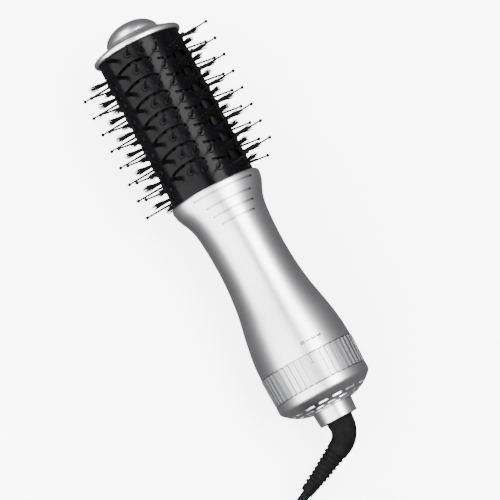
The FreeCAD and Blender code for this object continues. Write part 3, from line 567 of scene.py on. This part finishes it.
def add_tuft(seat, out, chance, vertices, faces):
    """One tuft: a short root in its hole, and fibres that fan out from it."""
    across = out.cross(ALONG).normalized()
    root = [seat - out * TUFT_DEPTH * MM, seat + out * 0.1 * MM, seat + out * 0.35 * MM]
    sweep(root, [TUFT_ROOT * MM, TUFT_ROOT * MM, 0.7 * TUFT_ROOT * MM], 12, vertices, faces)
    for k in range(FIBRES):
        turn = GOLDEN_TURN * k
        share = math.sqrt((k + 0.5) / FIBRES)
        place = across * math.cos(turn) + ALONG * math.sin(turn)
        foot = seat + place * share * 0.8 * TUFT_ROOT * MM
        length = TUFT_LENGTH * (1 - 0.16 * share - 0.22 * chance.random() ** 2)
        lean = place * share * chance.uniform(0.5, 1.5) + way(0, 0, chance.uniform(-0.35, 0.35))
        tip = foot + (out * length + lean) * MM
        middle = foot.lerp(tip, 0.55) - lean * 0.18 * MM
        line = [foot, foot.lerp(middle, 0.5), middle, middle.lerp(tip, 0.55), tip]
        radii = [FIBRE_RADIUS * MM * scale for scale in (1.0, 1.0, 0.95, 0.85, 0.45)]
        sweep(line, radii, 5, vertices, faces)


def make_tufts():
    """A strip of tufts for each tuft column, face and back."""
    count = 0
    for back, columns in TUFT_COLUMNS.items():
        flip = -1 if back else 1
        for distance, first in columns:
            count += 1
            chance = random.Random(count)
            (side, depth), normal = on_barrel(distance)
            out = way(flip * normal[0], flip * normal[1])
            rows = []
            height = BARREL_TOP - first
            while height > HANDLE_TOP + LAST_ROW_CLEAR:
                rows.append(height)
                height -= ROW_PITCH
            vertices = []
            faces = []
            for row in rows:
                add_tuft(spot(flip * side, flip * depth, row), out, chance, vertices, faces)
            add_carrier(spot(flip * side, flip * depth, 0), out, rows, vertices, faces)
            name = "%02d" % count
            tufts = add_mesh("tufts_" + name, vertices, faces, MATERIALS["tuft_black"])
            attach(tufts, "handle")
            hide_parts("tuft_strip_" + name)


def add_carrier(base, out, rows, vertices, faces):
    """The strip inside the barrel's wall that the tufts stand on."""
    across = out.cross(ALONG).normalized()
    low = max(rows[-1] - 3.0, HANDLE_TOP + 0.1)
    high = min(rows[0] + 3.0, BARREL_TOP - 1.6)
    first = len(vertices)
    for height in (low, high):
        for wide, deep in ((-1, 0), (1, 0), (1, 1), (-1, 1)):
            inward = out * (STRIP_DEPTH + deep * STRIP_THICKNESS)
            vertices.append(base + (ALONG * height + across * wide * STRIP_HALF_WIDTH - inward) * MM)
    for k in range(4):
        beyond = (k + 1) % 4
        faces.append((first + k, first + beyond, first + 4 + beyond, first + 4 + k))
    faces.append((first + 3, first + 2, first + 1, first))
    faces.append((first + 4, first + 5, first + 6, first + 7))


make_tufts()

# ---- Dial numerals on the handle above the ring, where the ring's pointer stops

DIAL_ANGLES = (-10.5, -3.5, 3.5, 10.5)
DIAL_HEIGHT = 39.3
NUMERAL_SIZE = 3.0
NUMERAL_PROUD = 0.05
DIAL_RADIUS = 24.4
CAST_FROM = 0.05


def make_numeral(number, angle, surface):
    """One printed numeral, laid on the handle so that it reads towards the ring."""
    text = bpy.data.curves.new("numeral", "FONT")
    text.body = str(number)
    text.size = NUMERAL_SIZE
    text.align_x = "CENTER"
    text.align_y = "CENTER"
    text.extrude = 0.02
    text.offset = 0.1
    text.resolution_u = 6
    holder = bpy.data.objects.new("numeral", text)
    data = bpy.data.meshes.new_from_object(holder)
    vertices = []
    for vertex in data.vertices:
        x, y, z = vertex.co
        turn = math.radians(angle) + y / DIAL_RADIUS
        out = way(math.sin(turn), math.cos(turn))
        begin = START + ALONG * (DIAL_HEIGHT - x) * MM + out * CAST_FROM
        hit, _, _, _ = surface.ray_cast(begin, -out)
        vertices.append(hit + out * (NUMERAL_PROUD + z) * MM)
    faces = [tuple(p.vertices) for p in data.polygons]
    bpy.data.objects.remove(holder)
    bpy.data.meshes.remove(data)
    bpy.data.curves.remove(text)
    piece = add_mesh("numeral_%d" % number, vertices, faces, dial_ink, False)
    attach(piece, "handle")


def surface_of(name):
    """The CAD node's surface, for placing things on it."""
    data = nodes[name].data
    points = [v.co.copy() for v in data.vertices]
    return BVHTree.FromPolygons(points, [tuple(p.vertices) for p in data.polygons])


dial_ink = dial_print()
handle_face = surface_of("handle_front_shell")
for position, dial_angle in enumerate(DIAL_ANGLES):
    make_numeral(position, dial_angle, handle_face)

dress_nodes()

# ---- Floor, world and light

FLOOR_REACH = 3.0
FLOOR_DROP = 0.0001
BACKDROP_CURVE = 1.0
BACKDROP_HEIGHT = 3.0
FLOOR_GLOW = 3.2
ROOM_GLOW = 0.15
SOFTBOX_DISTANCE = 1.3
SOFTBOX_LENGTH = 1.8
END_LIGHT_WAY = (-0.45, 0.55, 1.0)
END_LIGHT_SIZE = 0.7
END_LIGHT_POWER = 12.0


def make_floor():
    """A wide pale sheet under the brush that curves up into a backdrop all round, evenly lit from behind."""
    around = 96
    bends = 12
    profile = [(0.0, 0.0), (FLOOR_REACH, 0.0)]
    for k in range(1, bends + 1):
        angle = math.pi / 2 * k / bends
        rise = BACKDROP_CURVE * (1 - math.cos(angle))
        profile.append((FLOOR_REACH + BACKDROP_CURVE * math.sin(angle), rise))
    profile.append((profile[-1][0], BACKDROP_HEIGHT))
    vertices = [(0.0, 0.0, -FLOOR_DROP)]
    for radius, rise in profile[1:]:
        for k in range(around):
            turn = 2 * math.pi * k / around
            vertices.append((radius * math.cos(turn), radius * math.sin(turn), rise - FLOOR_DROP))
    faces = [(0, 1 + k, 1 + (k + 1) % around) for k in range(around)]
    for ring in range(len(profile) - 2):
        low = 1 + ring * around
        for k in range(around):
            beyond = (k + 1) % around
            faces.append((low + k, low + beyond, low + around + beyond, low + around + k))
    data = bpy.data.meshes.new("floor")
    data.from_pydata(vertices, [], faces)
    data.polygons.foreach_set("use_smooth", [True] * len(data.polygons))
    data.materials.append(floor_paper())
    floor = bpy.data.objects.new("floor", data)
    floor.visible_glossy = False
    bpy.context.scene.collection.objects.link(floor)


def make_world():
    """The dim grey room that glossy surfaces reflect."""
    world = bpy.data.worlds.new("studio")
    bpy.context.scene.world = world
    world.use_nodes = True
    background = world.node_tree.nodes["Background"]
    background.inputs["Color"].default_value = (0.97, 0.97, 1.0, 1)
    background.inputs["Strength"].default_value = ROOM_GLOW


def hang(data, toward):
    """Hangs a light in this direction from the brush's middle, facing it, out of the camera's sight."""
    light = bpy.data.objects.new(data.name, data)
    across = ALONG.cross(toward).normalized()
    turn = Matrix((across, toward.cross(across), toward)).transposed().to_4x4()
    light.matrix_world = Matrix.Translation(spot(0, 0, AIM_HEIGHT) + toward * SOFTBOX_DISTANCE) @ turn
    light.visible_camera = False
    bpy.context.scene.collection.objects.link(light)


def softbox(name, angle, spread, glow):
    """A tall soft light at an angle to the right of the face, spread degrees to each side, this bright."""
    data = bpy.data.lights.new(name, "AREA")
    data.shape = "RECTANGLE"
    data.size = 2 * SOFTBOX_DISTANCE * math.tan(math.radians(spread))
    data.size_y = SOFTBOX_LENGTH
    data.energy = glow * math.pi * data.size * data.size_y
    turn = math.radians(angle)
    hang(data, way(math.sin(turn), math.cos(turn)))


def end_light():
    """A round softbox beyond the tip, up and to the left, which lights the domed cap."""
    data = bpy.data.lights.new("end_light", "AREA")
    data.shape = "DISK"
    data.size = END_LIGHT_SIZE
    data.energy = END_LIGHT_POWER
    hang(data, way(*END_LIGHT_WAY).normalized())


make_floor()
make_world()
softbox("key_light", 20, 13, 20.0)
softbox("left_light", -48, 34, 8.0)
end_light()
